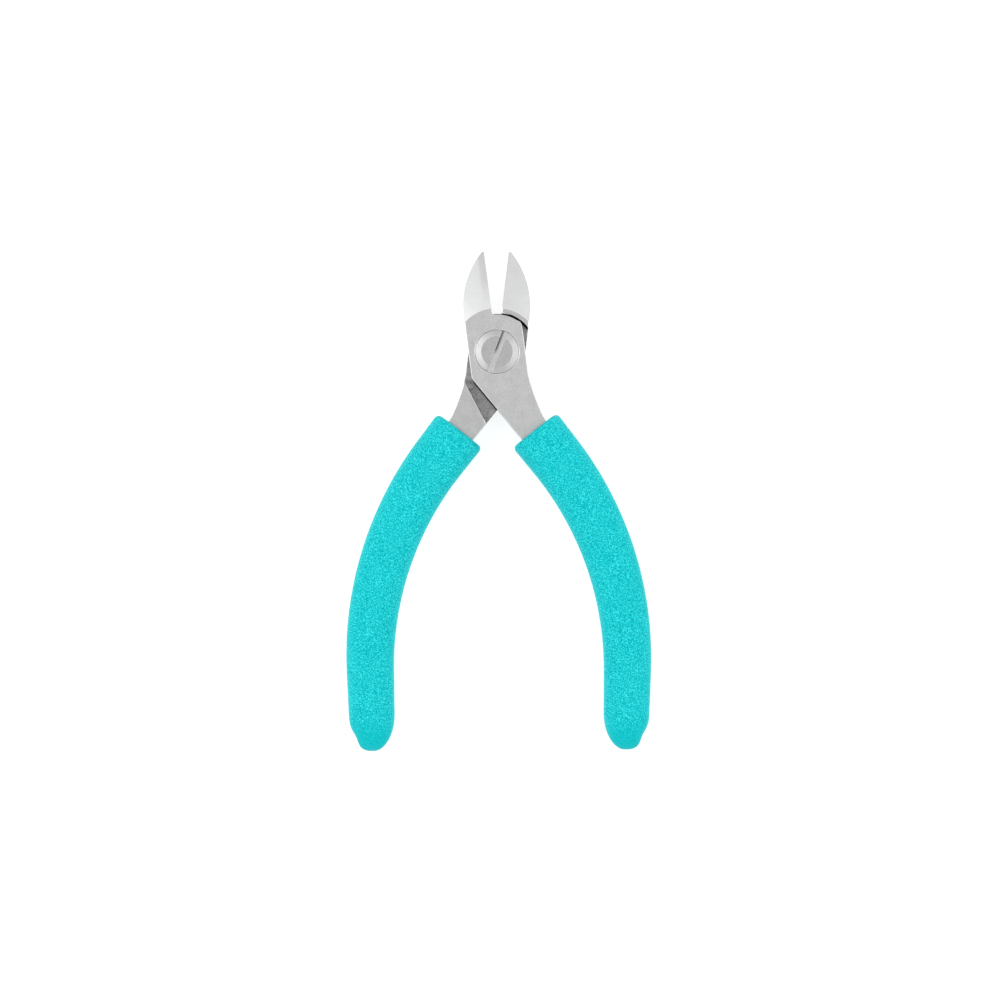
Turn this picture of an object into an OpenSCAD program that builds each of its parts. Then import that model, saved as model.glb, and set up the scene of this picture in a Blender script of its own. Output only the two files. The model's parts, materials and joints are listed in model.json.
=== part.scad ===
// Flush cut pliers with a screwed lap joint, a hidden return spring and foam grips.
// They lie flat with the front face up: +Y runs to the tips and +Z out of the front face.
// The origin is on the pivot's axis, in the rear face of the joint.

/* [Opening] */
// Angle between the cutting edges with the handles released
opening_angle = 14; // [8:0.5:16]

/* [Head] */
// Thickness of the joint, both halves together
head_t = 7; // [6.6:0.1:9]
// Width of the joint with the jaws shut
head_w = 13; // [12.6:0.1:15]
// Distance from the pivot to the tips
jaw_l = 23.3; // [19:0.1:28]
// Distance from the pivot to where the sides of the jaws start to curve in
nose_y = 9; // [8:0.1:11]
// Width of the blunt tip, both jaws together
tip_w = 1; // [0.6:0.1:2]
// Radius about the pivot where the ground front of the jaws starts
relief_r = 10; // [9.8:0.1:12]
// Slope of the ground front of the jaws, in degrees
front_slope = 9; // [4:0.5:11]
// Slope of the back of the jaws, in degrees
rear_slope = 11; // [4:0.5:12]
// Angle of the bevel behind each cutting edge, in degrees
bevel_angle = 28; // [20:1:34]

/* [Lap joint] */
// Radius of each lap plate's round end
plate_r = 8.7; // [8.4:0.1:9]
// Radius of the corner between a plate's round end and its side
plate_corner_r = 1.5; // [0.5:0.1:2.5]
// Distance from the pivot down to the corner of each lap plate
plate_corner = 5.4; // [4:0.1:6.5]
// Running gap between the round end of a plate and the other jaw
plate_gap = 0.4; // [0.2:0.05:0.6]
// Running gap between the two lap faces
lap_gap = 0.05; // [0.03:0.01:0.1]
// Gap from a shut plate to the shoulder, at the outer side
shoulder_gap_outer = 1.3; // [0.6:0.1:1.6]
// Gap from a shut plate to the shoulder, at the crotch
shoulder_gap_inner = 0.8; // [0.5:0.1:1.4]
// Gap between the shut cutting edges
edge_gap = 0.02; // [0.02:0.01:0.1]
// Length of the ledge on each shoulder that stops the plate as the jaws shut
ledge_l = 1.9; // [1:0.1:3]
// Height of that ledge above the lap face
ledge_h = 1.4; // [0.8:0.1:2]

/* [Pivot screw] */
// Diameter of the screw's head
screw_head_d = 10; // [9.6:0.1:11]
// Diameter of the flat top inside the head's chamfer
screw_flat_d = 7.2; // [6:0.1:8]
// Depth that the head is sunk into the front face
screw_sink = 0.8; // [0.5:0.1:0.9]
// Height of the head's chamfer above the front face
screw_rise = 0.5; // [0.3:0.1:0.8]
// Diameter of the smooth shank that the front half turns on
shank_d = 5.6; // [5.2:0.1:6]
// Width of the step from the shank down to the threaded end
shank_step = 0.3; // [0.2:0.05:0.6]
// Width of the screwdriver slot
slot_w = 1.2; // [0.8:0.1:1.4]
// Depth of the screwdriver slot
slot_depth = 0.8; // [0.5:0.1:1]
// Direction of the slot, clockwise from the pliers' own axis
slot_turn = 22; // [0:1:90]
// Diameter of the lock nut
nut_d = 9; // [8:0.1:9.6]
// Thickness of the lock nut
nut_t = 1; // [0.8:0.1:1.1]
// Width of the lock nut's two spanner notches
notch_w = 1.4; // [1:0.1:2]

/* [Spring and stop] */
// Diameter of the return spring's wire
wire_d = 0.9; // [0.6:0.05:1.1]
// Number of turns
coil_turns = 1.5; // [1.2:0.05:1.6]
// Wall left between the shank and the spring's pocket
hub_wall = 0.7; // [0.5:0.1:1]
// Diameter of the stop pin
stop_d = 1.6; // [1.2:0.1:1.8]
// Distance from the pivot to the stop pin
stop_r = 8; // [7.6:0.1:8.4]

/* [Handles] */
// Sideways distance from the pivot to the middle of a handle where its grip starts
handle_x = 6.2; // [5.6:0.1:7.6]
// Distance down from the pivot to the same point
handle_y = 19; // [18:0.5:24]
// Angle of the handle there, out from the pliers' axis
handle_angle = 31; // [26:0.5:34]
// Length of the straight stretch before the bend
straight_l = 7.7; // [4:0.1:12]
// Radius of the handle's bend
bend_r = 76.5; // [60:0.5:100]
// Angle at the far end, where a negative value turns back in
end_angle = -8.5; // [-14:0.5:0]
// Width of the steel tang where the grip starts
tang_w = 7; // [6:0.1:7.6]
// Width of the tang at its far end
tang_end_w = 5; // [4:0.1:6]
// Thickness of the tang at its far end
tang_end_t = 4.4; // [3.6:0.1:5]
// Length of the tang inside the grip
tang_l = 64; // [50:1:68]

/* [Grips] */
// Length of each grip along the handle
grip_l = 78.8; // [76:0.2:95]
// Thickness of the foam at the sides of the tang, at the grip's top
foam_side = 3; // [2.6:0.1:4]
// Thickness of the foam over the tang's front and back, at the grip's top
foam_face = 2.7; // [2.6:0.1:4]
// Thickness of the foam all round near the grip's end
foam_end = 2.65; // [2.2:0.05:3.4]
// Radius of the soft edge round a grip's top
grip_lip = 1.2; // [0.6:0.1:1.3]
// Length of the rounded end
grip_tip_l = 9.5; // [6:0.1:12]

/* [Hidden] */
$fn = 96;

// Fits
running_fit = 0.03;  // radial, a shank that turns in a bore
fixed_fit = 0.01;    // radial, a thread or a pressed pin
face_fit = 0.01;     // between faces that are drawn up tight
free_fit = 0.15;     // round the spring's legs and in the stop slot
grip_fit = 0.06;     // between the tang's corners and the foam
ledge_fit = 0.12;    // between a shut plate and the ledge
coil_fit = 0.1;      // between the spring and the inner wall of its pocket
coil_spare = 0.25;   // between the spring and the outer wall of its pocket
pin_end_fit = 0.3;   // between the stop pin's end and the end of its slot
overlap = 0.2;       // how far one shape runs into the next that it is joined to
far = 200;           // longer than any cut

// Heights
half_w = head_w / 2;
lap_z = head_t / 2;
front_lap_z = lap_z + lap_gap / 2;
rear_lap_z = lap_z - lap_gap / 2;
screw_seat_z = head_t - screw_sink;
nut_recess = 0.1;
nut_seat_z = nut_t + nut_recess;
thread_d = shank_d - 2 * shank_step;
pocket_inner_r = shank_d / 2 + running_fit + hub_wall;
coil_r = pocket_inner_r + coil_fit + wire_d / 2;
pocket_outer_r = coil_r + wire_d / 2 + coil_spare;
end_play = 0.05;
pocket_depth = ((coil_turns + 1) * wire_d + 4 * end_play - lap_gap) / 2;
pocket_floor_z = rear_lap_z - pocket_depth;
pocket_roof_z = front_lap_z + pocket_depth;

// Plan of the front half with the jaws shut: jaw on the left, handle on the right.
// A handle's centre line is a straight stretch, an arc and a second straight stretch.
bend_l = bend_r * (handle_angle - end_angle) * PI / 180;
function heading(s) =
    s <= straight_l ? handle_angle
    : max(end_angle, handle_angle - (s - straight_l) / bend_r * 180 / PI);
function along(a) = [sin(a), -cos(a)];
function outward(a) = [cos(a), sin(a)];
function centre(s) =
    let (start = [handle_x, -handle_y],
         a = heading(s),
         turn = bend_r * (outward(a) - outward(handle_angle)),
         tail = max(0, s - straight_l - bend_l))
    start + min(s, straight_l) * along(handle_angle) + turn + tail * along(end_angle);

// The tang's width tapers from the top of the grip to its far end, and its thickness from a little
// above the grip.
function tang_half_w(s) = (tang_w + (tang_end_w - tang_w) * max(0, s) / tang_l) / 2;
function tang_side(s, side) = centre(s) + side * tang_half_w(s) * outward(heading(s));
taper_lead = 3.5;
tang_taper_y = taper_lead - handle_y;
tang_end_y = centre(tang_l)[1];
function tang_half_t(y) =
    (head_t + (tang_end_t - head_t) * max(0, (tang_taper_y - y) / (tang_taper_y - tang_end_y))) / 2;

// The slanted edge of a plate runs from the plate's corner straight into the tang's inner side.
corner = [-half_w, -plate_corner];
crotch = tang_side(0, -1);
edge_dir = (crotch - corner) / norm(crotch - corner);
edge_out = [edge_dir[1], -edge_dir[0]];
function mirrored(p) = [-p[0], p[1]];
shoulder_top = mirrored(corner + shoulder_gap_outer * edge_out);
shoulder_end = mirrored(crotch + shoulder_gap_inner * edge_out);
shoulder_dir = (shoulder_end - shoulder_top) / norm(shoulder_end - shoulder_top);
// where the shoulder meets the side of the head
shoulder_side = shoulder_top + (half_w - shoulder_top[0]) / shoulder_dir[0] * shoulder_dir;
ledge_clear = 0.5;
ledge_r = plate_r + plate_gap + ledge_clear;  // the ledge starts outside the round recess

// The outer side flares from the straight side of the head into the tang along a cubic curve.
flare_y = -6;
flare_angle = 4;
flare_top_pull = 4;
flare_end_pull = 1.5;
flare_steps = 10;
function cubic(p, t) =
    pow(1 - t, 3) * p[0] + 3 * pow(1 - t, 2) * t * p[1] + 3 * (1 - t) * t * t * p[2] + pow(t, 3) * p[3];
flare_top = [half_w, flare_y];
flare = [tang_side(0, 1), tang_side(0, 1) - flare_end_pull * along(handle_angle),
         flare_top + flare_top_pull * along(flare_angle), flare_top];

tang_steps = 18;
cap_steps = 8;
cap_r = tang_half_w(tang_l);
cap_centre = centre(tang_l - cap_r);
handle_outline = concat(
    [[-half_w, 1], corner],
    [for (i = [0 : tang_steps]) tang_side((tang_l - cap_r) * i / tang_steps, -1)],
    [for (i = [1 : cap_steps - 1])
        let (a = heading(tang_l) - 180 + 180 * i / cap_steps)
        cap_centre + cap_r * outward(a)],
    [for (i = [tang_steps : -1 : 1]) tang_side((tang_l - cap_r) * i / tang_steps, 1)],
    [for (i = [0 : flare_steps]) cubic(flare, i / flare_steps)],
    [[half_w, 1]]);

module jaw_plan() {
    // each side of the nose is one arc, tangent to the side of the head
    run = jaw_l - nose_y;
    sweep = half_w - tip_w / 2;
    nose_r = (sweep * sweep + run * run) / (2 * sweep);
    intersection() {
        translate([-half_w, 0]) square([half_w - edge_gap / 2, jaw_l]);
        union() {
            translate([-half_w, 0]) square([head_w, nose_y]);
            translate([nose_r - half_w, nose_y]) circle(r = nose_r, $fn = 180);
        }
    }
}

module plate_plan() {
    // the corner's circle touches both the round end and the side
    c = [half_w - plate_corner_r, sqrt(pow(plate_r - plate_corner_r, 2) - pow(half_w - plate_corner_r, 2))];
    difference() {
        intersection() {
            circle(r = plate_r);
            translate([-half_w, -1]) square([head_w, plate_r + 2]);
        }
        polygon([c, [2 * half_w, c[1]], [2 * half_w, 2 * plate_r], 2 * plate_r * c / norm(c)]);
    }
    translate(c) circle(r = plate_corner_r);
    polygon(handle_outline);
}

// Everything that the other half's plate sweeps through
module recess_plan() {
    up = shoulder_top - (shoulder_top[1] / shoulder_dir[1]) * shoulder_dir;
    down = shoulder_top + far * shoulder_dir;
    circle(r = plate_r + plate_gap);
    polygon([up, down, [-far, down[1]], [-far, 0]]);
}

// A ledge stays on the shoulder's outer end, and the other plate's slanted edge shuts against it
module ledge_plan() {
    across = [-shoulder_dir[1], shoulder_dir[0]];
    toward = across[0] < 0 ? across : -across;
    width = shoulder_gap_outer - ledge_fit;
    difference() {
        polygon([shoulder_side - ledge_l * shoulder_dir, shoulder_side + ledge_l * shoulder_dir,
                 shoulder_side + ledge_l * shoulder_dir + width * toward,
                 shoulder_side - ledge_l * shoulder_dir + width * toward]);
        circle(r = ledge_r);
    }
}

// Side view: the back of the jaws slopes to the tip and the tang tapers on both faces
module side_profile() {
    back_clear = 0.5;
    relief_y = nose_y + back_clear;
    tip_y = jaw_l + 1;
    end_y = tang_end_y - 1;
    rotate([90, 0, 90]) linear_extrude(height = far, center = true) polygon([
        [relief_y, 0],
        [tip_y, (tip_y - relief_y) * tan(rear_slope)],
        [tip_y, head_t],
        [tang_taper_y, head_t],
        [end_y, lap_z + tang_half_t(end_y)],
        [end_y, lap_z - tang_half_t(end_y)],
        [tang_taper_y, 0]]);
}

// The ground front of the jaws is a shallow cone about the pivot
module front_relief() {
    reach = jaw_l + 5;
    rotate_extrude(angle = 180, $fn = 180) polygon([
        [relief_r, head_t],
        [reach, head_t - (reach - relief_r) * tan(front_slope)],
        [reach, head_t + 5],
        [relief_r, head_t + 5]]);
}

// The bevel leaves the cutting edge sharp at the front and runs out at the recess wall
module edge_bevel() {
    deep = 2 * head_t;
    difference() {
        translate([-edge_gap / 2, relief_r, head_t]) rotate([90 - front_slope, 0, 0])
            translate([0, 0, -jaw_l]) linear_extrude(height = jaw_l + relief_r)
                polygon([[0, 0], [-deep * tan(bevel_angle), -deep], [1, -deep], [1, 0]]);
        translate([0, 0, -head_t]) cylinder(r = plate_r + plate_gap, h = 3 * head_t);
    }
}

// One half with the jaws shut. layer is 1 where its plate is in front, -1 where it is behind.
module half_blank(layer) {
    recess_z = layer > 0 ? front_lap_z - far : rear_lap_z;
    ledge_z = layer > 0 ? front_lap_z - ledge_h : rear_lap_z;
    difference() {
        intersection() {
            linear_extrude(height = head_t) union() {
                jaw_plan();
                plate_plan();
            }
            side_profile();
        }
        difference() {
            translate([0, 0, recess_z]) linear_extrude(height = far) recess_plan();
            translate([0, 0, ledge_z]) linear_extrude(height = ledge_h) ledge_plan();
        }
        front_relief();
        edge_bevel();
    }
}

// Each half is turned out from the shut position by half of the opening
module front_pose() { rotate(opening_angle / 2) children(); }
module rear_pose() { rotate(-opening_angle / 2) mirror([1, 0, 0]) children(); }

module ring_groove(inner, outer, z, depth) {
    translate([0, 0, z]) difference() {
        cylinder(r = outer, h = depth);
        translate([0, 0, -1]) cylinder(r = inner, h = depth + 2);
    }
}

// Spring: both legs stand along the axis, one in a hole of each half
leg_bend_r = 0.6;
leg_hole_share = 0.7;  // of the steel between the pocket and the nut
leg_hole_depth = (pocket_floor_z - nut_seat_z) * leg_hole_share;
coil_start = 200;
leg_turn = leg_bend_r / coil_r * 180 / PI;
leg_end = coil_start + 360 * coil_turns + 2 * leg_turn;
coil_low_z = pocket_floor_z + wire_d / 2 + end_play;
coil_high_z = pocket_roof_z - wire_d / 2 - end_play;

module leg_hole(angle, z) {
    rotate(angle) translate([coil_r, 0, z])
        cylinder(d = wire_d + 2 * free_fit, h = leg_hole_depth + 1, $fn = 48);
}

// The stop slot lets the pin travel from released to shut, with a little to spare
slot_spare = 1.5;
module stop_slot() {
    slot_r = stop_d / 2 + free_fit;
    open_at = -90 - opening_angle - free_fit / stop_r * 180 / PI;
    sweep = opening_angle + slot_spare + free_fit / stop_r * 180 / PI;
    translate([0, 0, front_lap_z - 1]) linear_extrude(height = stop_d + 1) {
        for (a = [open_at, open_at + sweep])
            rotate(a) translate([stop_r, 0]) circle(r = slot_r, $fn = 48);
        intersection() {
            difference() {
                circle(r = stop_r + slot_r);
                circle(r = stop_r - slot_r);
            }
            polygon([[0, 0], 3 * stop_r * [cos(open_at), sin(open_at)],
                     3 * stop_r * [cos(open_at + sweep), sin(open_at + sweep)]]);
        }
    }
}

module front_half() color("silver") {
    difference() {
        front_pose() difference() {
            half_blank(1);
            stop_slot();
        }
        translate([0, 0, -1]) cylinder(d = shank_d + 2 * running_fit, h = head_t + 2);
        translate([0, 0, screw_seat_z]) cylinder(d = screw_head_d + 4 * running_fit, h = head_t);
        ring_groove(pocket_inner_r, pocket_outer_r, front_lap_z - 1, pocket_depth + 1);
        leg_hole(leg_end, pocket_roof_z - 1);
    }
}

module rear_half() color("darkgray") {
    difference() {
        rear_pose() half_blank(-1);
        translate([0, 0, -1]) cylinder(d = thread_d + 2 * fixed_fit, h = head_t + 2);
        translate([0, 0, nut_seat_z - far]) cylinder(d = nut_d + 4 * running_fit, h = far);
        ring_groove(pocket_inner_r, pocket_outer_r, pocket_floor_z, pocket_depth + 1);
        leg_hole(coil_start, pocket_floor_z - leg_hole_depth);
        rotate(-opening_angle / 2 - 90) translate([stop_r, 0, rear_lap_z - stop_d])
            cylinder(d = stop_d + 2 * fixed_fit, h = stop_d + 1, $fn = 48);
    }
}

module pivot_screw() color("gainsboro") {
    seat = screw_seat_z + face_fit;
    shoulder = rear_lap_z + face_fit;
    top = head_t + screw_rise;
    difference() {
        union() {
            translate([0, 0, nut_recess]) cylinder(d = thread_d, h = seat - nut_recess);
            translate([0, 0, shoulder]) cylinder(d = shank_d, h = seat - shoulder + overlap);
            translate([0, 0, seat]) cylinder(d = screw_head_d, h = head_t - seat);
            translate([0, 0, head_t]) cylinder(d1 = screw_head_d, d2 = screw_flat_d, h = screw_rise);
        }
        rotate(-slot_turn) translate([-slot_w / 2, -screw_head_d, top - slot_depth])
            cube([slot_w, 2 * screw_head_d, head_t]);
    }
}

module lock_nut() color("gray") {
    notch_depth = 0.5;
    difference() {
        translate([0, 0, nut_recess]) cylinder(d = nut_d, h = nut_t - face_fit);
        translate([0, 0, -1]) cylinder(d = thread_d + 2 * fixed_fit, h = nut_t + 2);
        for (side = [-1, 1])
            translate([side * nut_d / 2 - notch_w / 2, -notch_w / 2, -1])
                cube([notch_w, notch_w, 1 + nut_recess + notch_depth]);
    }
}

// Closed skin over a list of rings that all have the same number of points
module skin(rings) {
    n = len(rings[0]);
    last = len(rings) - 1;
    sides = [for (i = [0 : last - 1], j = [0 : n - 1])
        let (a = i * n + j, b = i * n + (j + 1) % n) each [[a, b, b + n], [a, b + n, a + n]]];
    polyhedron(
        points = [for (ring = rings, p = ring) p],
        faces = concat([[for (j = [n - 1 : -1 : 0]) j]], sides, [[for (j = [0 : n - 1]) last * n + j]]));
}

module return_spring() color("dimgray") {
    coil_steps = 36;
    bend_steps = 4;
    wire_sides = 10;
    slope = atan((coil_high_z - coil_low_z) / (2 * PI * coil_r * coil_turns));
    // each station is [angle about the pivot, height, climb of the wire]
    low_bend = [for (i = [0 : bend_steps]) let (a = 90 - (90 - slope) * i / bend_steps)
        [coil_start + leg_turn * (1 - sin(a)), coil_low_z - leg_bend_r * (1 - cos(a)), a]];
    coil = [for (i = [1 : coil_steps - 1]) let (t = i / coil_steps)
        [coil_start + leg_turn + 360 * coil_turns * t,
         coil_low_z + (coil_high_z - coil_low_z) * t, slope]];
    high_bend = [for (i = [bend_steps : -1 : 0]) let (a = 90 - (90 - slope) * i / bend_steps)
        [leg_end - leg_turn * (1 - sin(a)), coil_high_z + leg_bend_r * (1 - cos(a)), a]];
    low_leg = [coil_start, pocket_floor_z - leg_hole_depth + free_fit, 90];
    high_leg = [leg_end, pocket_roof_z + leg_hole_depth - free_fit, 90];
    stations = concat([low_leg], low_bend, coil, high_bend, [high_leg]);
    skin([for (s = stations) [for (j = [0 : wire_sides - 1])
        let (b = 360 * j / wire_sides,
             r = coil_r + wire_d / 2 * cos(b),
             u = -wire_d / 2 * sin(b) * sin(s[2]),
             v = wire_d / 2 * sin(b) * cos(s[2]))
        [r * cos(s[0]) - u * sin(s[0]), r * sin(s[0]) + u * cos(s[0]), s[1] + v]]]);
}

module stop_pin() color("dimgray") {
    rotate(-opening_angle / 2 - 90) translate([stop_r, 0, rear_lap_z - stop_d + face_fit])
        cylinder(d = stop_d, h = 2 * stop_d - pin_end_fit, $fn = 48);
}

// Grips: a rounded section that tapers along the handle, over a bore that fits the tang.
// Both sections are superellipses, and the bore's is squarer and clears the tang's corners.
grip_sides = 24;
roundness = 2.6;
bore_roundness = 16;
bore_scale = pow(2, 1 / bore_roundness);
function power(v, n) = sign(v) * pow(abs(v), n);
function ring(s, half_w, half_t, n, shift) = [for (i = [0 : grip_sides - 1])
    let (a = 360 * i / grip_sides,
         p = centre(s) + (shift + half_w * power(cos(a), 2 / n)) * outward(heading(s)))
    [p[0], p[1], lap_z + half_t * power(sin(a), 2 / n)]];
function soft_ring(s, w, t, shift) = ring(s, w / 2, t / 2, roundness, shift);
function bore_ring(s) =
    ring(s, bore_scale * (tang_half_w(s) + grip_fit), bore_scale * (tang_half_t(centre(s)[1]) + grip_fit),
         bore_roundness, 0);
function taper(from, to, s) = from + (to - from) * s / grip_l;
function grip_w_at(s) = taper(tang_w + 2 * foam_side, tang_end_w + 2 * foam_end, s);
function grip_t_at(s) = taper(head_t + 2 * foam_face, tang_end_t + 2 * foam_end, s);

module grip() {
    lip_steps = 4;
    body_steps = 20;
    tip_steps = 9;
    bore_steps = 16;
    bore_spare = 0.3;  // beyond the tang's end
    bore_l = tang_l + bore_spare;
    tip_lean = 0.5;   // the end leans in towards the other handle
    tip_angle = 84;   // the last ring stops short of a point
    body_l = grip_l - grip_lip - grip_tip_l;
    bore = [for (i = [bore_steps : -1 : 0]) bore_ring(bore_l * i / bore_steps)];
    lip = [for (i = [0 : lip_steps - 1])
        let (a = 90 * i / lip_steps, s = grip_lip * (1 - cos(a)), off = 2 * grip_lip * (1 - sin(a)))
        soft_ring(s, grip_w_at(s) - off, grip_t_at(s) - off, 0)];
    body = [for (i = [0 : body_steps])
        let (s = grip_lip + body_l * i / body_steps) soft_ring(s, grip_w_at(s), grip_t_at(s), 0)];
    tip = [for (i = [1 : tip_steps])
        let (a = tip_angle * i / tip_steps, s = grip_l - grip_tip_l * (1 - sin(a) / sin(tip_angle)))
        soft_ring(s, grip_w_at(s) * cos(a), grip_t_at(s) * cos(a), -tip_lean * sin(a))];
    skin(concat(bore, lip, body, tip));
}

module left_grip() color("turquoise") rear_pose() grip();

module right_grip() color("turquoise") front_pose() grip();

front_half();
rear_half();
pivot_screw();
lock_nut();
return_spring();
stop_pin();
left_grip();
right_grip();
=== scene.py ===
import json
import math

import bmesh
import bpy
from mathutils import Matrix, Vector, noise


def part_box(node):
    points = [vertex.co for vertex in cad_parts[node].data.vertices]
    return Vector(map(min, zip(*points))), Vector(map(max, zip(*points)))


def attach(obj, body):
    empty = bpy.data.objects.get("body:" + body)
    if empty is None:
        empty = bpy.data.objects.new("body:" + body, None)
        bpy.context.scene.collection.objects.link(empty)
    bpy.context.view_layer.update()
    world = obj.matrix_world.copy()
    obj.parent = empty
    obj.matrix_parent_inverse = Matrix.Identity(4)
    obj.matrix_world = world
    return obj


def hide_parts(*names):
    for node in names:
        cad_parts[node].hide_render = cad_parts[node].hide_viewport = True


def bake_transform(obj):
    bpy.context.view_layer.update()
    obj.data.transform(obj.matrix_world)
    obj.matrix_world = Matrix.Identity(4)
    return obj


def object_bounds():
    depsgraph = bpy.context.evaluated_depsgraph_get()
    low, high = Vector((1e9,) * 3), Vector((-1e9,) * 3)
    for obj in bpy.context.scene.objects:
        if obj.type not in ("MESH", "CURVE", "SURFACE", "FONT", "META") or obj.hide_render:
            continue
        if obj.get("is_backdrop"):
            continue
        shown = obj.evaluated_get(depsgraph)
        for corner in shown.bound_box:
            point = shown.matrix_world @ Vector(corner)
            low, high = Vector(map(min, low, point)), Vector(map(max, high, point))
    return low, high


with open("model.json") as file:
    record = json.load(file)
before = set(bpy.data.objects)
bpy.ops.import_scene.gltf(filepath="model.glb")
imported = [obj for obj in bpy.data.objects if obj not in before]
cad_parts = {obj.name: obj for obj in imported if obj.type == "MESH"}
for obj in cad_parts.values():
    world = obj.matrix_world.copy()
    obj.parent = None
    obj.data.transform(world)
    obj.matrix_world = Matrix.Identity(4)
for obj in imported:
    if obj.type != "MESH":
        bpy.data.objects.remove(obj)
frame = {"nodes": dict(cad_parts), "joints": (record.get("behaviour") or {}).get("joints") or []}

cad_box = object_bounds()

MM = 0.001

# The two halves stand open by the joint's whole range, half of it each side of the Y axis.
HALF_OPENING = math.radians(frame["joints"][0]["range_deg"][1]) / 2
FRONT, REAR = "front", "rear"

# Joint, in millimetres and degrees, as in the CAD source
HEAD_T = 7.0
HEAD_W = 13.0
LAP_Z = HEAD_T / 2
PLATE_R = 8.7
PLATE_CORNER = 5.4
RECESS_R = 9.1
RELIEF_R = 10.0
FRONT_SLOPE = math.radians(9)
LEDGE_H = 1.4
CHAMFER_RISE, CHAMFER_W = 0.5, 1.4
CHAMFER_SLOPE = math.atan(CHAMFER_RISE / CHAMFER_W)
SLOT_W = 1.2
SLOT_TURN = 22.0
THINNEST_HALF = 2.1      # a little less than half of the tang's least thickness

# Widths of the broken edges, in millimetres
OUTLINE_EDGE = 0.14
LEDGE_EDGE = 0.05
ARC_EDGE = 0.16
SCREW_EDGE = 0.06
SMALL_EDGE = 0.08

# Handles and grips, in millimetres and degrees
HANDLE_START = (6.2, -19.0)
HANDLE_ANGLE = 31.0
STRAIGHT_L = 7.7
BEND_R = 76.5
END_ANGLE = -8.5
GRIP_L = 78.8
GRIP_W, GRIP_END_W = 13.0, 10.3
GRIP_T, GRIP_END_T = 12.4, 9.7
GRIP_LIP = 1.3
LIP_FLAT = 0.82          # how wide the flat ring inside the lip is, as a share of the whole
GRIP_ROUNDNESS = 2.6
INNER_LESS, OUTER_MORE = 0.2, 0.15      # taken off the inner half width, added to the outer
INNER_TIP_L, OUTER_TIP_L = 8.4, 8.0
TIP_DENT, TIP_DENT_AT, TIP_DENT_L = 0.165, 3.1, 2.3
FOAM_ROUGH = 0.035
CLOSED_SKIN_L, CLOSED_SKIN_SHARE = 4.0, 0.35      # the closed end's skin is smoother
TANG_W, TANG_T = 7.0, 6.9


def plate_edge():
    """The slanted edge of the front plate at rest: the turn that makes it upright, and its X then."""
    corner = Vector((-HEAD_W / 2, -PLATE_CORNER))
    angle = math.radians(HANDLE_ANGLE)
    side = Vector((math.cos(angle), math.sin(angle))) * TANG_W / 2
    crotch = Vector(HANDLE_START) - side
    turn = Matrix.Rotation(HALF_OPENING, 2)
    corner, crotch = turn @ corner, turn @ crotch
    lean = math.atan2(crotch.x - corner.x, corner.y - crotch.y)
    return -lean, (Matrix.Rotation(-lean, 2) @ corner).x


PLATE_EDGE_TURN, PLATE_EDGE_X = plate_edge()


# ---------------------------------------------------------------- materials

def new_material(name, metallic=0.0, ior=1.5, specular=0.5):
    """A Principled material, returned with its node tree, shader and object coordinates."""
    mat = bpy.data.materials.new(name)
    mat.use_nodes = True
    tree = mat.node_tree
    shader = tree.nodes["Principled BSDF"]
    shader.inputs["Metallic"].default_value = metallic
    shader.inputs["IOR"].default_value = ior
    shader.inputs["Specular IOR Level"].default_value = specular
    coords = tree.nodes.new("ShaderNodeTexCoord").outputs["Object"]
    return mat, tree, shader, coords


def stretched(tree, coords, scale, turn=0.0):
    """Coordinates scaled by (x, y, z) per metre, after a turn about Z."""
    mapping = tree.nodes.new("ShaderNodeMapping")
    mapping.inputs["Rotation"].default_value = (0, 0, turn)
    mapping.inputs["Scale"].default_value = scale
    tree.links.new(coords, mapping.inputs["Vector"])
    return mapping.outputs["Vector"]


def noise_value(tree, vector, scale, detail=2.0, roughness=0.5):
    node = tree.nodes.new("ShaderNodeTexNoise")
    node.inputs["Scale"].default_value = scale
    node.inputs["Detail"].default_value = detail
    node.inputs["Roughness"].default_value = roughness
    tree.links.new(vector, node.inputs["Vector"])
    return node.outputs["Fac"]


def ramp(tree, value, stops):
    """Colour ramp with stops of (position, colour)."""
    node = tree.nodes.new("ShaderNodeValToRGB")
    elements = node.color_ramp.elements
    while len(elements) < len(stops):
        elements.new(0.5)
    for element, (position, colour) in zip(elements, stops):
        element.position = position
        element.color = (*colour, 1)
    tree.links.new(value, node.inputs["Fac"])
    return node.outputs["Color"]


def remap(tree, value, low, high, start=0.0, end=1.0):
    node = tree.nodes.new("ShaderNodeMapRange")
    node.inputs["From Min"].default_value = start
    node.inputs["From Max"].default_value = end
    node.inputs["To Min"].default_value = low
    node.inputs["To Max"].default_value = high
    tree.links.new(value, node.inputs["Value"])
    return node.outputs["Result"]


def mix_colour(tree, a, b, amount, blend="MIX"):
    """Blend of two colours, each a socket or a plain colour, by a number or a socket."""
    node = tree.nodes.new("ShaderNodeMix")
    node.data_type = "RGBA"
    node.blend_type = blend
    if isinstance(amount, float):
        node.inputs["Factor"].default_value = amount
    else:
        tree.links.new(amount, node.inputs["Factor"])
    for socket, colour in ((node.inputs[6], a), (node.inputs[7], b)):
        if isinstance(colour, tuple):
            socket.default_value = (*colour, 1)
        else:
            tree.links.new(colour, socket)
    return node.outputs[2]


def add_bump(tree, shader, height, strength, distance_mm):
    node = tree.nodes.new("ShaderNodeBump")
    node.inputs["Strength"].default_value = strength
    node.inputs["Distance"].default_value = distance_mm * MM
    tree.links.new(height, node.inputs["Height"])
    tree.links.new(node.outputs["Normal"], shader.inputs["Normal"])


def grey(level, tint=0.0):
    """A grey, warm for a positive tint and cool for a negative one."""
    return (level * (1 + tint), level, level * (1 - tint))


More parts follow.
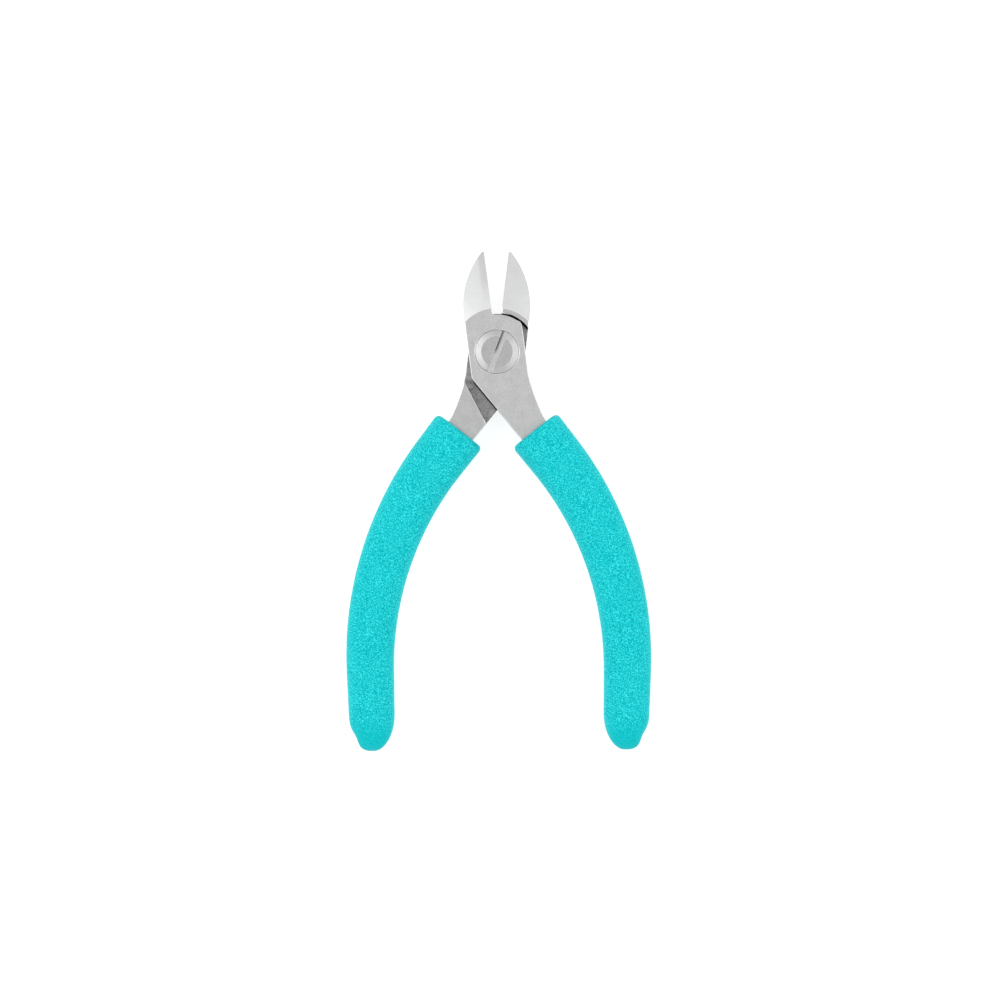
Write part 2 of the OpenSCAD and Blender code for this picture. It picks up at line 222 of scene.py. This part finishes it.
def sweep(tree, coords, turn, axis, start_mm, end_mm):
    """0 to 1 between two distances along X (0) or Y (1), in coordinates turned about Z."""
    split = tree.nodes.new("ShaderNodeSeparateXYZ")
    tree.links.new(stretched(tree, coords, (1, 1, 1), turn), split.inputs["Vector"])
    return remap(tree, split.outputs[axis], 0.0, 1.0, start_mm * MM, end_mm * MM)


def math_value(tree, operation, a, b):
    """A Math node on two sockets."""
    node = tree.nodes.new("ShaderNodeMath")
    node.operation = operation
    tree.links.new(a, node.inputs[0])
    tree.links.new(b, node.inputs[1])
    return node.outputs["Value"]


def distance_from_pivot(tree, coords):
    """Distance from the pivot's axis, as a socket in metres."""
    length = tree.nodes.new("ShaderNodeVectorMath")
    length.operation = "LENGTH"
    tree.links.new(stretched(tree, coords, (1, 1, 0)), length.inputs[0])
    return length.outputs["Value"]


def blasted_steel(name, tone):
    """The flat faces and sides of a half: a fine, even satin blast with faint handling marks."""
    mat, tree, shader, coords = new_material(name, metallic=1.0)
    grain = noise_value(tree, coords, 3300, 3, 0.65)
    cloud = noise_value(tree, coords, 420, 3, 0.6)
    scuffs = noise_value(tree, stretched(tree, coords, (1400, 110, 1400)), 1, 4, 0.7)
    base = ramp(tree, grain, [(0.34, grey(0.40 * tone)), (0.66, grey(0.52 * tone))])
    shade = ramp(tree, cloud, [(0.35, grey(0.94)), (0.65, grey(1.03))])
    colour = mix_colour(tree, base, shade, 1.0, "MULTIPLY")
    light = ramp(tree, scuffs, [(0.62, grey(1.0)), (0.75, grey(1.1))])
    tree.links.new(mix_colour(tree, colour, light, 1.0, "MULTIPLY"), shader.inputs["Base Color"])
    tree.links.new(remap(tree, grain, 0.36, 0.5), shader.inputs["Roughness"])
    add_bump(tree, shader, grain, 0.3, 0.02)
    return mat


def ground_steel(name, tone, turn, edge_shade):
    """A jaw: surface ground, lighter and smoother than the rest. The last argument is the strength of
    painted shade along its cutting edge, towards the tip.
    """
    mat, tree, shader, coords = new_material(name, metallic=1.0)
    lines = noise_value(tree, stretched(tree, coords, (700, 7000, 700), turn), 1, 3, 0.6)
    cloud = noise_value(tree, coords, 260, 3, 0.6)
    base = ramp(tree, lines, [(0.3, grey(0.655 * tone, -0.005)), (0.7, grey(0.71 * tone, -0.005))])
    shade = ramp(tree, cloud, [(0.3, grey(0.96)), (0.7, grey(1.02))])
    colour = mix_colour(tree, base, shade, 1.0, "MULTIPLY")
    # painted shade along the cutting edge, strongest towards the tip
    near_edge = sweep(tree, coords, turn, 0, -1.9, -1.2)
    towards_tip = sweep(tree, coords, turn, 1, 11.0, 18.0)
    dark = ramp(tree, math_value(tree, "MULTIPLY", near_edge, towards_tip),
                [(0.0, grey(1.0)), (1.0, grey(1 - edge_shade))])
    tree.links.new(mix_colour(tree, colour, dark, 1.0, "MULTIPLY"), shader.inputs["Base Color"])
    tree.links.new(remap(tree, lines, 0.26, 0.36), shader.inputs["Roughness"])
    add_bump(tree, shader, lines, 0.12, 0.01)
    return mat


def lap_steel():
    """The lap faces: milled steel painted darker than the plate faces, partly for its own finish and partly
    as painted shade of the recess, with near-black painted shade beside the other plate's edge and in the
    gap at the recess's rim.
    """
    mat, tree, shader, coords = new_material("lap_steel", metallic=1.0)
    mill = noise_value(tree, stretched(tree, coords, (2600, 700, 2600), 0.4), 1, 3, 0.6)
    grain = noise_value(tree, coords, 3000, 3, 0.7)
    # base darker than the plate faces: partly the milled finish, partly painted shade of the recess
    base = ramp(tree, grain, [(0.36, grey(0.2)), (0.64, grey(0.4))])
    # painted shadow in a strip beside the front plate's slanted edge as it stands at rest, below the pivot
    beside_plate = sweep(tree, coords, PLATE_EDGE_TURN, 0, PLATE_EDGE_X - 0.34, PLATE_EDGE_X - 0.16)
    below_pivot = sweep(tree, coords, 0.0, 1, -6.5, -7.0)
    painted_shade = math_value(tree, "MULTIPLY", beside_plate, below_pivot)
    # painted shade in the narrow gap at the recess's rim, above the pivot
    in_recess = remap(tree, distance_from_pivot(tree, coords), 0.0, 1.0, 8.5 * MM, 8.7 * MM)
    above_pivot = sweep(tree, coords, 0.0, 1, 2.0, 4.0)
    painted_shade = math_value(tree, "MAXIMUM", painted_shade, math_value(tree, "MULTIPLY", in_recess, above_pivot))
    # both masks darken the base to near black: painted shade
    painted_shade_tint = ramp(tree, painted_shade, [(0.0, grey(1.0)), (1.0, grey(0.04))])
    tree.links.new(mix_colour(tree, base, painted_shade_tint, 1.0, "MULTIPLY"), shader.inputs["Base Color"])
    tree.links.new(remap(tree, mill, 0.4, 0.62), shader.inputs["Roughness"])
    add_bump(tree, shader, mill, 0.3, 0.02)
    return mat


def wall_shade_steel():
    """The walls of the recesses and the broken edge beside them, painted near black as painted shade in the
    narrow gaps there.
    """
    mat, tree, shader, coords = new_material("wall_shade_steel", metallic=1.0)
    mill = noise_value(tree, stretched(tree, coords, (900, 900, 5000)), 1, 3, 0.6)
    # near-black steel: painted shade
    tree.links.new(ramp(tree, mill, [(0.3, grey(0.03)), (0.7, grey(0.07))]), shader.inputs["Base Color"])
    tree.links.new(remap(tree, mill, 0.4, 0.6), shader.inputs["Roughness"])
    add_bump(tree, shader, mill, 0.25, 0.02)
    return mat


def worn_highlight_steel():
    """The broken edges, rubbed bright and painted much lighter than the faces beside them: partly real
    wear, partly painted highlight lines.
    """
    mat, tree, shader, coords = new_material("worn_highlight_steel", metallic=1.0)
    rub = noise_value(tree, coords, 1500, 3, 0.6)
    # light steel on the edges: partly wear, partly painted highlight
    tree.links.new(ramp(tree, rub, [(0.3, grey(0.78)), (0.7, grey(0.92))]), shader.inputs["Base Color"])
    tree.links.new(remap(tree, rub, 0.22, 0.4), shader.inputs["Roughness"])
    add_bump(tree, shader, rub, 0.1, 0.01)
    return mat


def turned_steel():
    """The flat top of the screw's head, with a few fine scratches."""
    mat, tree, shader, coords = new_material("turned_steel", metallic=1.0)
    lines = noise_value(tree, stretched(tree, coords, (5000, 500, 500), math.radians(8)), 1, 3, 0.6)
    grain = noise_value(tree, coords, 2600, 2, 0.5)
    base = ramp(tree, lines, [(0.3, grey(0.33)), (0.7, grey(0.385))])
    marks = ramp(tree, grain, [(0.4, grey(0.95)), (0.6, grey(1.04))])
    tree.links.new(mix_colour(tree, base, marks, 1.0, "MULTIPLY"), shader.inputs["Base Color"])
    tree.links.new(remap(tree, lines, 0.32, 0.44), shader.inputs["Roughness"])
    add_bump(tree, shader, lines, 0.2, 0.015)
    return mat


def polished_steel():
    """The screw's chamfer, turned bright with a soft shine."""
    mat, tree, shader, coords = new_material("polished_steel", metallic=1.0)
    marks = noise_value(tree, coords, 500, 2, 0.5)
    tree.links.new(ramp(tree, marks, [(0.3, grey(0.66)), (0.7, grey(0.76))]), shader.inputs["Base Color"])
    tree.links.new(remap(tree, marks, 0.52, 0.6), shader.inputs["Roughness"])
    shader.inputs["Anisotropic"].default_value = 0.3
    tangent = tree.nodes.new("ShaderNodeTangent")
    tangent.direction_type = "RADIAL"
    tangent.axis = "Z"
    tree.links.new(tangent.outputs["Tangent"], shader.inputs["Tangent"])
    return mat


def slot_steel():
    """The screwdriver slot: painted shadow lies along one wall in its upper half and thins out towards the
    lower end; the steel is painted lighter than the head's top, painted light against the slot's own shade.
    """
    mat, tree, shader, coords = new_material("slot_steel", metallic=1.0)
    grain = noise_value(tree, coords, 2600, 3, 0.6)
    # lighter than the head's top: painted light against the slot's own shade
    base = ramp(tree, grain, [(0.35, grey(0.45)), (0.65, grey(0.53))])
    turn = math.radians(SLOT_TURN)
    upper = sweep(tree, coords, turn, 1, -0.8, 0.6)
    at_wall = sweep(tree, coords, turn, 0, SLOT_W * 0.1, SLOT_W * -0.25)
    # painted shadow along one wall, in the slot's upper half
    painted_shadow = math_value(tree, "MULTIPLY", at_wall, upper)
    painted_shade_tint = ramp(tree, painted_shadow, [(0.0, grey(1.0)), (1.0, grey(0.32))])
    tree.links.new(mix_colour(tree, base, painted_shade_tint, 1.0, "MULTIPLY"), shader.inputs["Base Color"])
    tree.links.new(remap(tree, grain, 0.35, 0.5), shader.inputs["Roughness"])
    add_bump(tree, shader, grain, 0.2, 0.02)
    return mat


def spring_wire():
    """Dark drawn wire with faint lines along it."""
    mat, tree, shader, coords = new_material("spring_wire", metallic=1.0)
    drawn = noise_value(tree, stretched(tree, coords, (900, 900, 7000)), 1, 3, 0.6)
    base = ramp(tree, drawn, [(0.3, grey(0.16)), (0.7, grey(0.24))])
    tree.links.new(base, shader.inputs["Base Color"])
    tree.links.new(remap(tree, drawn, 0.28, 0.42), shader.inputs["Roughness"])
    add_bump(tree, shader, drawn, 0.15, 0.01)
    return mat


def foam():
    """Fine closed-cell foam: a teal body speckled with lighter cell walls, smoother at the closed end."""
    mat, tree, shader, coords = new_material("teal_foam", ior=1.45, specular=0.07)
    grain = noise_value(tree, coords, 3700, 2, 0.6)
    fine = noise_value(tree, coords, 6500, 2, 0.5)
    patch = noise_value(tree, coords, 260, 2, 0.5)
    shader.inputs["Sheen Weight"].default_value = 0.18
    shader.inputs["Sheen Roughness"].default_value = 0.35
    open_skin = sweep(tree, coords, 0.0, 1, -88.5, -84.0)
    closed_skin = (0.0, 0.6, 0.64)
    dark, middle, light = (0.0, 0.46, 0.52), (0.0, 0.64, 0.69), (0.07, 0.93, 0.95)
    body = ramp(tree, grain, [(0.38, dark), (0.5, middle), (0.62, light)])
    sparkle = ramp(tree, fine, [(0.36, (0.85, 0.93, 0.93)), (0.64, (1.12, 1.05, 1.05))])
    drift = ramp(tree, patch, [(0.3, (0.95, 0.97, 0.97)), (0.7, (1.0, 1.0, 1.0))])
    colour = mix_colour(tree, body, sparkle, 1.0, "MULTIPLY")
    colour = mix_colour(tree, colour, drift, 1.0, "MULTIPLY")
    amount = remap(tree, open_skin, 0.3, 1.0)
    tree.links.new(mix_colour(tree, closed_skin, colour, amount), shader.inputs["Base Color"])
    tree.links.new(remap(tree, grain, 0.6, 0.85), shader.inputs["Roughness"])
    add_bump(tree, shader, grain, 0.5, 0.06)
    return mat


def floor_paint():
    """Mid grey and strongly lit from within, like the acrylic top of a light table: it looks white."""
    mat, tree, shader, coords = new_material("studio_floor", specular=0.1)
    soft = noise_value(tree, coords, 8, 2, 0.5)
    tree.links.new(ramp(tree, soft, [(0.3, grey(0.49)), (0.7, grey(0.51))]), shader.inputs["Base Color"])
    shader.inputs["Roughness"].default_value = 0.9
    shader.inputs["Emission Color"].default_value = (1, 1, 1, 1)
    shader.inputs["Emission Strength"].default_value = 0.75
    return mat


# The two halves share one finish: the rear half's blasted steel is painted 7% darker and the front jaw 7%
# lighter than their twins, painted shade and light.
BLASTED = {FRONT: blasted_steel("blasted_steel_front", 1.0),
           REAR: blasted_steel("blasted_steel_rear", 0.93)}
# the front jaw's 0.165 is painted shade along its cutting edge; the rear jaw has none
GROUND = {FRONT: ground_steel("ground_steel_front", 1.07, -HALF_OPENING, 0.165),
          REAR: ground_steel("ground_steel_rear", 1.0, HALF_OPENING, 0.0)}
LAP, WALL_SHADE, WORN_HIGHLIGHT = lap_steel(), wall_shade_steel(), worn_highlight_steel()
TURNED, POLISHED, SLOT = turned_steel(), polished_steel(), slot_steel()
WIRE, FOAM = spring_wire(), foam()


# ---------------------------------------------------------------- steel pieces

JOIN = 2e-6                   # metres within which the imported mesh's split vertices are one
FLAT = math.radians(0.4)      # faces closer than this in direction are one face
HARD = math.radians(28)       # edges that turn more than this are hard
ROUND = math.radians(50)      # the steps across a broken edge turn less than this
LEVEL = 0.02 * MM             # points closer than this in height, or radius, are on one level


def whole_mesh(node):
    """A CAD node's mesh as a bmesh, with split vertices joined and flat faces made whole."""
    bm = bmesh.new()
    bm.from_mesh(frame["nodes"][node].data)
    bmesh.ops.remove_doubles(bm, verts=bm.verts, dist=JOIN)
    bmesh.ops.dissolve_limit(bm, angle_limit=FLAT, verts=bm.verts, edges=bm.edges)
    return bm


def break_edges(bm, width_mm, material, wanted):
    """Rounds the hard outer edges that are wanted, and gives the new faces a material of their own."""
    hard = [e for e in bm.edges
            if len(e.link_faces) == 2 and e.is_convex and e.calc_face_angle() > HARD and wanted(e)]
    bmesh.ops.bevel(bm, geom=hard, offset=width_mm * MM, offset_type="OFFSET", segments=2, profile=0.5,
                    affect="EDGES", clamp_overlap=False, material=material)
    bm.normal_update()


def corner_normals(bm, edge_material, cone_normal):
    """Shading normals for every face corner: flat faces stay flat and curved ones run smoothly.

    cone_normal(face, point) gives the true normal on a conical face, and None elsewhere.
    """
    cone = {face: cone_normal(face, face.calc_center_median()) is not None for face in bm.faces}
    normals = []
    for face in bm.faces:
        broken = face.material_index == edge_material
        for vert in face.verts:
            if cone[face]:
                normals.append(cone_normal(face, vert.co))
                continue
            total = Vector()
            for other in vert.link_faces:
                limit = ROUND if broken or other.material_index == edge_material else HARD
                if other is face or (face.normal.angle(other.normal, 0) < limit and not cone[other]):
                    total += other.normal * other.calc_area()
            normals.append(total.normalized() if total.length else face.normal.copy())
    return normals


def on_cone(point, slope):
    """The normal at a point of a cone about the Z axis that falls outwards."""
    out = Vector((point.x, point.y, 0)).normalized()
    return out * math.sin(slope) + Vector((0, 0, math.cos(slope)))


def no_cone(face, point):
    """For a piece with no conical faces."""
    return None


def steel_piece(name, bm, node, body, materials, choose, edge_material, cone_normal=no_cone):
    """Turns a bmesh into a piece that stands for a CAD node, with a material for each face."""
    normals = corner_normals(bm, edge_material, cone_normal)
    for face in bm.faces:
        face.smooth = True
        if face.material_index != edge_material:
            face.material_index = choose(face)
    mesh = bpy.data.meshes.new(name)
    bm.to_mesh(mesh)
    bm.free()
    for mat in materials:
        mesh.materials.append(mat)
    mesh.normals_split_custom_set(normals)
    piece = bpy.data.objects.new(name, mesh)
    bpy.context.scene.collection.objects.link(piece)
    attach(piece, body)
    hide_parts(node)


def half(node, body, layer):
    """One forged half. layer is 1 where its plate is in front, and -1 where it is behind."""
    satin, jaw, lap, wall, edge_material = range(5)
    bm = whole_mesh(node)

    def on_arc(edge):
        """The front edge of the plate's round end, or the rim of the recess in front of it."""
        ends = [v.co for v in edge.verts]
        if ends[0].y < 0 or any(abs(p.z - HEAD_T * MM) > LEVEL for p in ends):
            return False
        return any(all(abs(math.hypot(p.x, p.y) - r * MM) < LEVEL for p in ends)
                   for r in (PLATE_R, RECESS_R))

    def on_outline(edge):
        """The edges of the front and back faces, apart from the two arcs."""
        ends = [v.co for v in edge.verts]
        if on_arc(edge):
            return False
        if ends[0].y > 0 or ends[1].y > 0:
            return any(all(abs(p.z - z * MM) < LEVEL for p in ends) for z in (0, HEAD_T))
        run = ends[1] - ends[0]
        across = abs(run.z) < 0.1 * run.length
        return across and all(abs(p.z - LAP_Z * MM) > THINNEST_HALF * MM for p in ends)

    def on_ledge(edge):
        """The edges of the ledge on each shoulder."""
        ends = [v.co for v in edge.verts]
        return all(abs(abs(p.z - LAP_Z * MM) - LEDGE_H * MM) < LEVEL for p in ends)

    # the broken outline and ledge edges take the light worn steel: partly wear, partly painted highlight
    break_edges(bm, OUTLINE_EDGE, edge_material, on_outline)
    break_edges(bm, LEDGE_EDGE, edge_material, on_ledge)
    if layer > 0:
        # the arcs' broken edges take the near-black wall steel: painted shade that widens the dark gap
        # between the plate's round end and the recess
        break_edges(bm, ARC_EDGE, wall, on_arc)

    def cone_normal(face, point):
        """The ground front of the jaws is part of a cone about the pivot."""
        true = on_cone(point, FRONT_SLOPE)
        middle = face.calc_center_median()
        inside = math.hypot(middle.x, middle.y) > RELIEF_R * MM and middle.y > 0
        return true if inside and face.normal.angle(true, 0) < math.radians(3) else None

    def choose(face):
        at = face.calc_center_median()
        reach = math.hypot(at.x, at.y) / MM
        if at.y > 0 and reach > RELIEF_R:
            return jaw
        upright = abs(face.normal.z) < 0.3
        # recess walls and the broken arc edges get the near-black wall steel: painted shade
        if upright and abs(reach - RECESS_R) < 0.06:
            return wall
        sloped = 0.05 < abs(face.normal.z) < 0.95
        if sloped and at.y > 0 and abs(reach - PLATE_R) < ARC_EDGE + 0.02:
            return wall
        facing = face.normal.z * layer
        if facing < -0.9 and abs(at.z - LAP_Z * MM) < LEDGE_H * MM * 1.1:
            return lap
        return satin

    steel_piece(node + "_steel", bm, node, body,
                [BLASTED[body], GROUND[body], LAP, WALL_SHADE, WORN_HIGHLIGHT], choose, edge_material, cone_normal)


def screw():
    flat, chamfer, slot, edge_material = range(4)
    bm = whole_mesh("pivot_screw")
    turn = Matrix.Rotation(math.radians(SLOT_TURN), 3, "Z")
    # the head's broken top edges take the light worn steel: partly wear, partly painted highlight
    break_edges(bm, SCREW_EDGE, edge_material,
                lambda edge: all(v.co.z > (HEAD_T - 0.1) * MM for v in edge.verts))

    def cone_normal(face, point):
        """The chamfer is part of a cone about the pivot."""
        middle = face.calc_center_median()
        if middle.z < (HEAD_T - 0.2) * MM or face.material_index == edge_material:
            return None
        off = face.normal.angle(on_cone(middle, CHAMFER_SLOPE), 0)
        return on_cone(point, CHAMFER_SLOPE) if off < math.radians(6) else None

    def choose(face):
        at = face.calc_center_median()
        across = abs((turn @ at).x) / MM
        if at.z > (HEAD_T - 1) * MM and across < SLOT_W / 2 + 0.01:
            return slot
        sloped = 0.3 < face.normal.z < 0.985
        return chamfer if sloped and at.z > (HEAD_T - 0.2) * MM else flat

    steel_piece("pivot_screw_steel", bm, "pivot_screw", REAR,
                [TURNED, POLISHED, SLOT, WORN_HIGHLIGHT], choose, edge_material, cone_normal)


def small_part(node, mat):
    """A whole small piece in one material, with all its edges broken."""
    plain, edge_material = range(2)
    bm = whole_mesh(node)
    # all edges take the light worn steel: partly wear, partly painted highlight
    break_edges(bm, SMALL_EDGE, edge_material, lambda edge: True)
    steel_piece(node + "_steel", bm, node, REAR, [mat, WORN_HIGHLIGHT], lambda face: plain, edge_material)


half("front_half", FRONT, 1)
half("rear_half", REAR, -1)
screw()
small_part("lock_nut", TURNED)
small_part("stop_pin", WIRE)


# ---------------------------------------------------------------- return spring

WIRE_R = 0.45
SPRING_TURNS = 1.5
COIL_R = 4.08
SPRING_START = 200.0          # degrees
LEG_BEND_R = 0.6


def spring():
    """A round wire coil with both legs bent along the axis, between the two CAD legs' ends."""
    low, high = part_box("return_spring")
    middle = (low.z + high.z) / 2 / MM
    rise = SPRING_TURNS * 2 * WIRE_R + 0.1
    bend = math.degrees(LEG_BEND_R / COIL_R)
    slope = math.degrees(math.atan(rise / (2 * math.pi * COIL_R * SPRING_TURNS)))
    bend_steps, coil_steps, sides = 8, 90, 16
    stations = [(SPRING_START, low.z / MM, 90)]
    for i in range(bend_steps + 1):
        a = math.radians(90 - (90 - slope) * i / bend_steps)
        stations.append((SPRING_START + bend * (1 - math.sin(a)),
                         middle - rise / 2 - LEG_BEND_R * (1 - math.cos(a)), math.degrees(a)))
    for i in range(1, coil_steps):
        t = i / coil_steps
        stations.append((SPRING_START + bend + 360 * SPRING_TURNS * t, middle - rise / 2 + rise * t, slope))
    end = SPRING_START + 360 * SPRING_TURNS + 2 * bend
    for i in range(bend_steps, -1, -1):
        a = math.radians(90 - (90 - slope) * i / bend_steps)
        stations.append((end - bend * (1 - math.sin(a)),
                         middle + rise / 2 + LEG_BEND_R * (1 - math.cos(a)), math.degrees(a)))
    stations.append((end, high.z / MM, 90))

    bm = bmesh.new()
    rings = []
    for angle, z, climb in stations:
        angle, climb = math.radians(angle), math.radians(climb)
        ring = []
        for j in range(sides):
            b = 2 * math.pi * j / sides
            r = COIL_R + WIRE_R * math.cos(b)
            u = -WIRE_R * math.sin(b) * math.sin(climb)
            at = Vector((r, u, z + WIRE_R * math.sin(b) * math.cos(climb)))
            ring.append(bm.verts.new(Matrix.Rotation(angle, 3, "Z") @ at * MM))
        rings.append(ring)
    skin_rings(bm, rings)
    piece = new_piece("return_spring_wire", bm, WIRE)
    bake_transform(piece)
    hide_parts("return_spring")


def skin_rings(bm, rings):
    """Closes a row of rings into one skin with a cap at each end."""
    for a, b in zip(rings, rings[1:]):
        n = len(a)
        for j in range(n):
            bm.faces.new((a[j], a[(j + 1) % n], b[(j + 1) % n], b[j]))
    bm.faces.new(list(reversed(rings[0])))
    bm.faces.new(rings[-1])
    bmesh.ops.recalc_face_normals(bm, faces=bm.faces)


def new_piece(name, bm, mat):
    for face in bm.faces:
        face.smooth = True
    mesh = bpy.data.meshes.new(name)
    bm.to_mesh(mesh)
    bm.free()
    mesh.materials.append(mat)
    piece = bpy.data.objects.new(name, mesh)
    bpy.context.scene.collection.objects.link(piece)
    return piece


spring()


# ---------------------------------------------------------------- foam grips

def heading(s):
    """The handle's direction at a distance s from the grip's top, out from -Y, in radians."""
    turned = HANDLE_ANGLE - math.degrees(max(0.0, s - STRAIGHT_L) / BEND_R)
    return math.radians(max(END_ANGLE, min(HANDLE_ANGLE, turned)))


def handle_centre(s):
    """The handle's centre line with the jaws shut, for the right handle, in millimetres."""
    first, a = math.radians(HANDLE_ANGLE), heading(s)
    bend_l = BEND_R * math.radians(HANDLE_ANGLE - END_ANGLE)
    tail = max(0.0, s - STRAIGHT_L - bend_l)
    straight = min(s, STRAIGHT_L)
    x = (HANDLE_START[0] + straight * math.sin(first) + BEND_R * (math.cos(a) - math.cos(first))
         + tail * math.sin(a))
    y = (HANDLE_START[1] - straight * math.cos(first) + BEND_R * (math.sin(a) - math.sin(first))
         - tail * math.cos(a))
    return x, y


def power(v, n):
    """The size of v to the power n, with v's own sign."""
    return math.copysign(abs(v) ** n, v)


def rounded(d, length, n):
    """Share of the full width at a distance d from an end that is rounded over a length."""
    left = max(0.0, 1 - d / length)
    return (1 - left ** n) ** (1 / n)


def grip_section(s):
    """Half widths towards the inside and the outside of the curve, and the half thickness, at s."""
    d = GRIP_L - s
    w = (GRIP_W + (GRIP_END_W - GRIP_W) * s / GRIP_L) / 2
    h = (GRIP_T + (GRIP_END_T - GRIP_T) * s / GRIP_L) / 2
    dent = TIP_DENT * math.exp(-((d - TIP_DENT_AT) / TIP_DENT_L) ** 2)
    inner = (w - INNER_LESS) * rounded(s, GRIP_LIP, 2) * rounded(d, INNER_TIP_L, 2)
    outer = (w + OUTER_MORE) * rounded(s, GRIP_LIP, 2) * (rounded(d, OUTER_TIP_L, 2.6) - dent)
    lip_in = LIP_FLAT * (1 - rounded(s, GRIP_LIP, 2))
    half_t = h * (rounded(s, GRIP_LIP, 2) + lip_in) * rounded(d, INNER_TIP_L, 2)
    return inner + lip_in * w, outer + lip_in * w, half_t


def foam_cells(point):
    """Height of the foam's skin above its smooth shape, from -1 to 1 and a little over."""
    return noise.noise(point * 1100) + 0.8 * noise.noise(point * 2300)


def grip(name, node, body, side):
    """side is 1 for the right grip, which rides on the front half, and -1 for the left."""
    around, step, end_step = 132, 0.36, 0.09
    stations = []
    s = 0.0
    while s < GRIP_L - 0.02:
        stations.append(s)
        near_end = s < GRIP_LIP or s > GRIP_L - 2
        s += end_step if near_end else step
    turn = Matrix.Rotation(side * HALF_OPENING, 3, "Z")
    bm = bmesh.new()
    rings = []

    def ring_at(s, inner, outer, half_t):
        a = heading(s)
        cx, cy = handle_centre(s)
        ring = []
        for j in range(around):
            b = 2 * math.pi * j / around
            across = outer if math.cos(b) > 0 else inner
            u = across * power(math.cos(b), 2 / GRIP_ROUNDNESS)
            v = half_t * power(math.sin(b), 2 / GRIP_ROUNDNESS)
            at = Vector((side * (cx + u * math.cos(a)), cy + u * math.sin(a), LAP_Z + v))
            ring.append(bm.verts.new(turn @ at * MM))
        return ring

    # the mouth: rings at these depths, with these gaps round the tang, up to the soft lip
    mouth = ((5.0, 0.1), (2.0, 0.1), (0.5, 0.12), (0.15, 0.3))
    for depth, gap in mouth:
        rings.append(ring_at(depth, TANG_W / 2 + gap, TANG_W / 2 + gap, TANG_T / 2 + gap))
    for s in stations:
        rings.append(ring_at(s, *grip_section(s)))
    skin_rings(bm, rings)
    bm.normal_update()
    for s, ring in zip([0.0] * len(mouth) + stations, rings):
        rough = FOAM_ROUGH * (CLOSED_SKIN_SHARE if s > GRIP_L - CLOSED_SKIN_L else 1.0)
        for v in ring:
            v.co += v.normal * (rough * MM * foam_cells(v.co))
    piece = new_piece(name, bm, FOAM)
    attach(piece, body)
    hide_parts(node)


grip("right_foam_grip", "right_grip", FRONT, 1)
grip("left_foam_grip", "left_grip", REAR, -1)


# ---------------------------------------------------------------- floor, light and camera

def floor():
    """A 3 m square just under the grips' rough skin."""
    reach = 1.5
    mesh = bpy.data.meshes.new("floor")
    corners = [(x * reach, y * reach, 0) for x, y in ((-1, -1), (1, -1), (1, 1), (-1, 1))]
    mesh.from_pydata(corners, [], [(0, 1, 2, 3)])
    mesh.materials.append(floor_paint())
    plane = bpy.data.objects.new("floor", mesh)
    plane.location = (0, 0, cad_box[0].z - 2 * FOAM_ROUGH * MM)
    bpy.context.scene.collection.objects.link(plane)
    plane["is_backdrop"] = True


def softbox(name, at, look_at, size, watts):
    """An area light of a size, in metres, that faces a point."""
    data = bpy.data.lights.new(name, "AREA")
    data.shape = "RECTANGLE"
    data.size, data.size_y = size
    data.energy = watts
    lamp = bpy.data.objects.new(name, data)
    lamp.location = at
    lamp.rotation_mode = "QUATERNION"
    lamp.rotation_quaternion = (Vector(look_at) - Vector(at)).to_track_quat("-Z", "Y")
    bpy.context.scene.collection.objects.link(lamp)


def studio():
    middle = (0.0, -0.034, 0.0)
    softbox("overhead", (0.0, 0.1, 1.4), middle, (0.9, 0.9), 2.4)
    softbox("left", (-0.75, 0.12, 0.85), middle, (0.5, 0.9), 3.6)
    softbox("right", (0.8, -0.05, 0.8), middle, (0.4, 0.8), 2.4)
    world = bpy.data.worlds.new("studio")
    world.use_nodes = True
    background = world.node_tree.nodes["Background"]
    background.inputs["Color"].default_value = (1.0, 1.0, 1.0, 1)
    background.inputs["Strength"].default_value = 0.55
    bpy.context.scene.world = world
    bpy.context.scene.view_settings.view_transform = "Standard"


def camera():
    """Looks straight down. The frame covers frame_width at the height of the lap."""
    frame_width = 230.2 * MM
    centre = Vector((0.50 * MM, -34.0 * MM, LAP_Z * MM))
    distance = 0.9
    data = bpy.data.cameras.new("camera")
    data.sensor_width = 36.0
    data.lens = data.sensor_width * distance / frame_width
    view = bpy.data.objects.new("camera", data)
    view.location = centre + Vector((0, 0, distance))
    view.rotation_euler = (0, 0, math.radians(-0.35))
    bpy.context.scene.collection.objects.link(view)
    bpy.context.scene.camera = view


floor()
studio()
camera()

[[list(corner) for corner in box] for box in (cad_box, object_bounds())]
